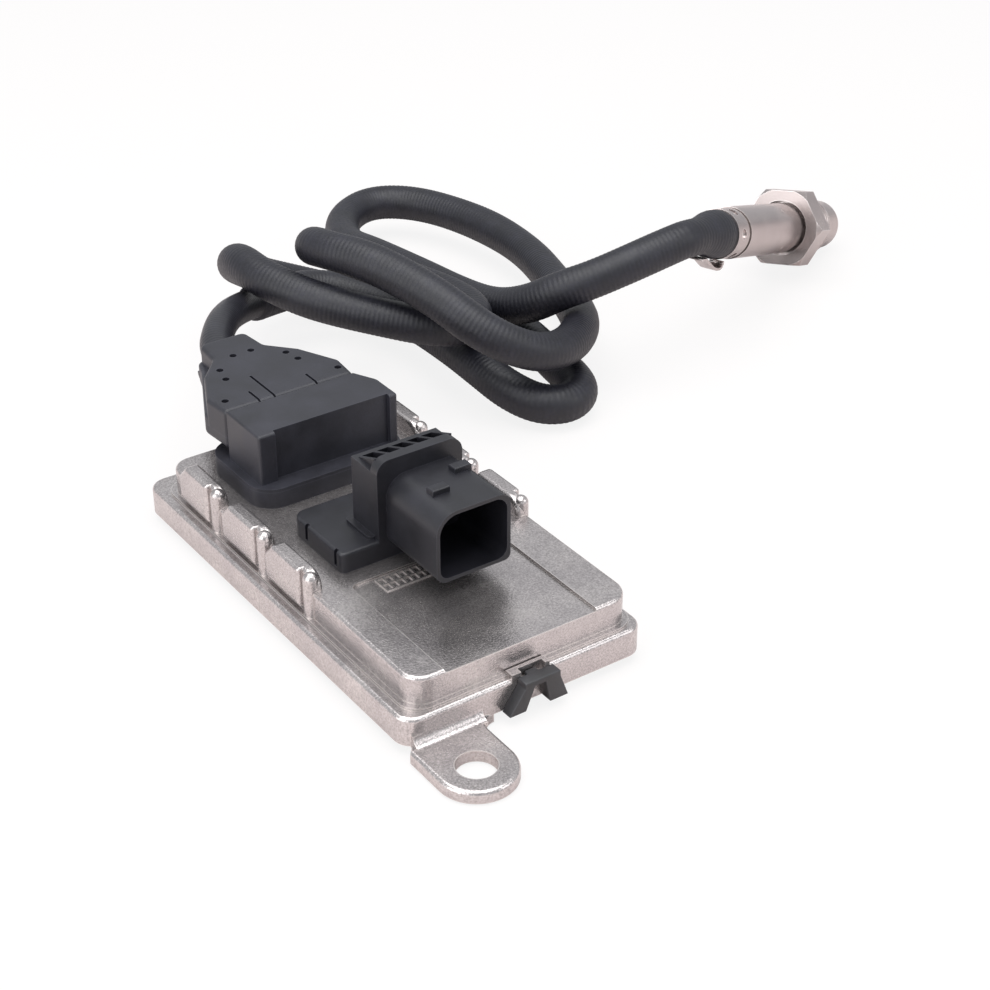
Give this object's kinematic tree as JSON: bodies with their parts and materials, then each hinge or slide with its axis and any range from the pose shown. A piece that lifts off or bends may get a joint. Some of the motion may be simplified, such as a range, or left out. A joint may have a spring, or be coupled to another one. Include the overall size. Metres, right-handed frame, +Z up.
{
  "type": "nitrogen oxide sensor",
  "caption": "Cast sensor control unit with plug header, cable connector, coiled protective hose and steel exhaust probe with union nut.",
  "frame": {"origin": "midpoint of the two mounting holes, on the plane the control unit stands on", "axes": "+Z up from the mounting plane, +Y along the control unit's long side towards the sensor cable, +X to the side on which the probe lies"},
  "size_m": [0.2479, 0.2544, 0.0456],
  "materials": {
    "cast_aluminium": "die cast, matte, bright worn edges",
    "cover_sheet": "plain sheet",
    "seal_rubber": "moulded",
    "black_clip_steel": "blackened",
    "board_laminate": "solder resist",
    "screw_steel": "zinc plated",
    "chip_plastic": "moulded",
    "capacitor_can": "drawn can",
    "contact_brass": "tin plated",
    "header_plastic": "moulded, fine grain",
    "connector_plastic": "moulded, satin",
    "cable_rubber": "smooth jacket",
    "hose_rubber": "fine rings",
    "probe_steel": "satin stainless",
    "plug_polymer": "moulded",
    "sensor_ceramic": "unglazed"
  },
  "bodies": {
    "sensor": {"housing": "cast_aluminium", "base_cover": "cover_sheet", "housing_seal": "seal_rubber", "edge_clip": "black_clip_steel", "circuit_board": "board_laminate", "board_screws": "screw_steel", "processor_chip": "chip_plastic", "driver_chips": "chip_plastic", "storage_capacitors": "capacitor_can", "header_blades": "contact_brass", "plug_header": "header_plastic", "sensor_socket": "connector_plastic", "socket_pins": "contact_brass", "sensor_plug": "connector_plastic", "plug_contacts": "contact_brass", "cable_cover_lower": "connector_plastic", "cable_cover_upper": "connector_plastic", "cable_grommet": "seal_rubber", "cable_jacket": "cable_rubber", "protective_hose": "hose_rubber", "hose_end_boot": "hose_rubber", "crimp_band": "probe_steel", "hose_clip": "probe_steel", "probe_sleeve": "probe_steel", "probe_plug": "plug_polymer", "protection_tube": "probe_steel", "sensing_element": "sensor_ceramic", "element_bushing": "sensor_ceramic"},
    "union_nut": {"union_nut": "probe_steel"}
  },
  "joints": [
    {"name": "union_nut_spin", "type": "hinge", "parent": "sensor", "child": "union_nut", "pos_m": [0.19399, 0.07473, 0.01423], "axis": [0.8677, 0.3827, -0.3173], "continuous": true}
  ]
}
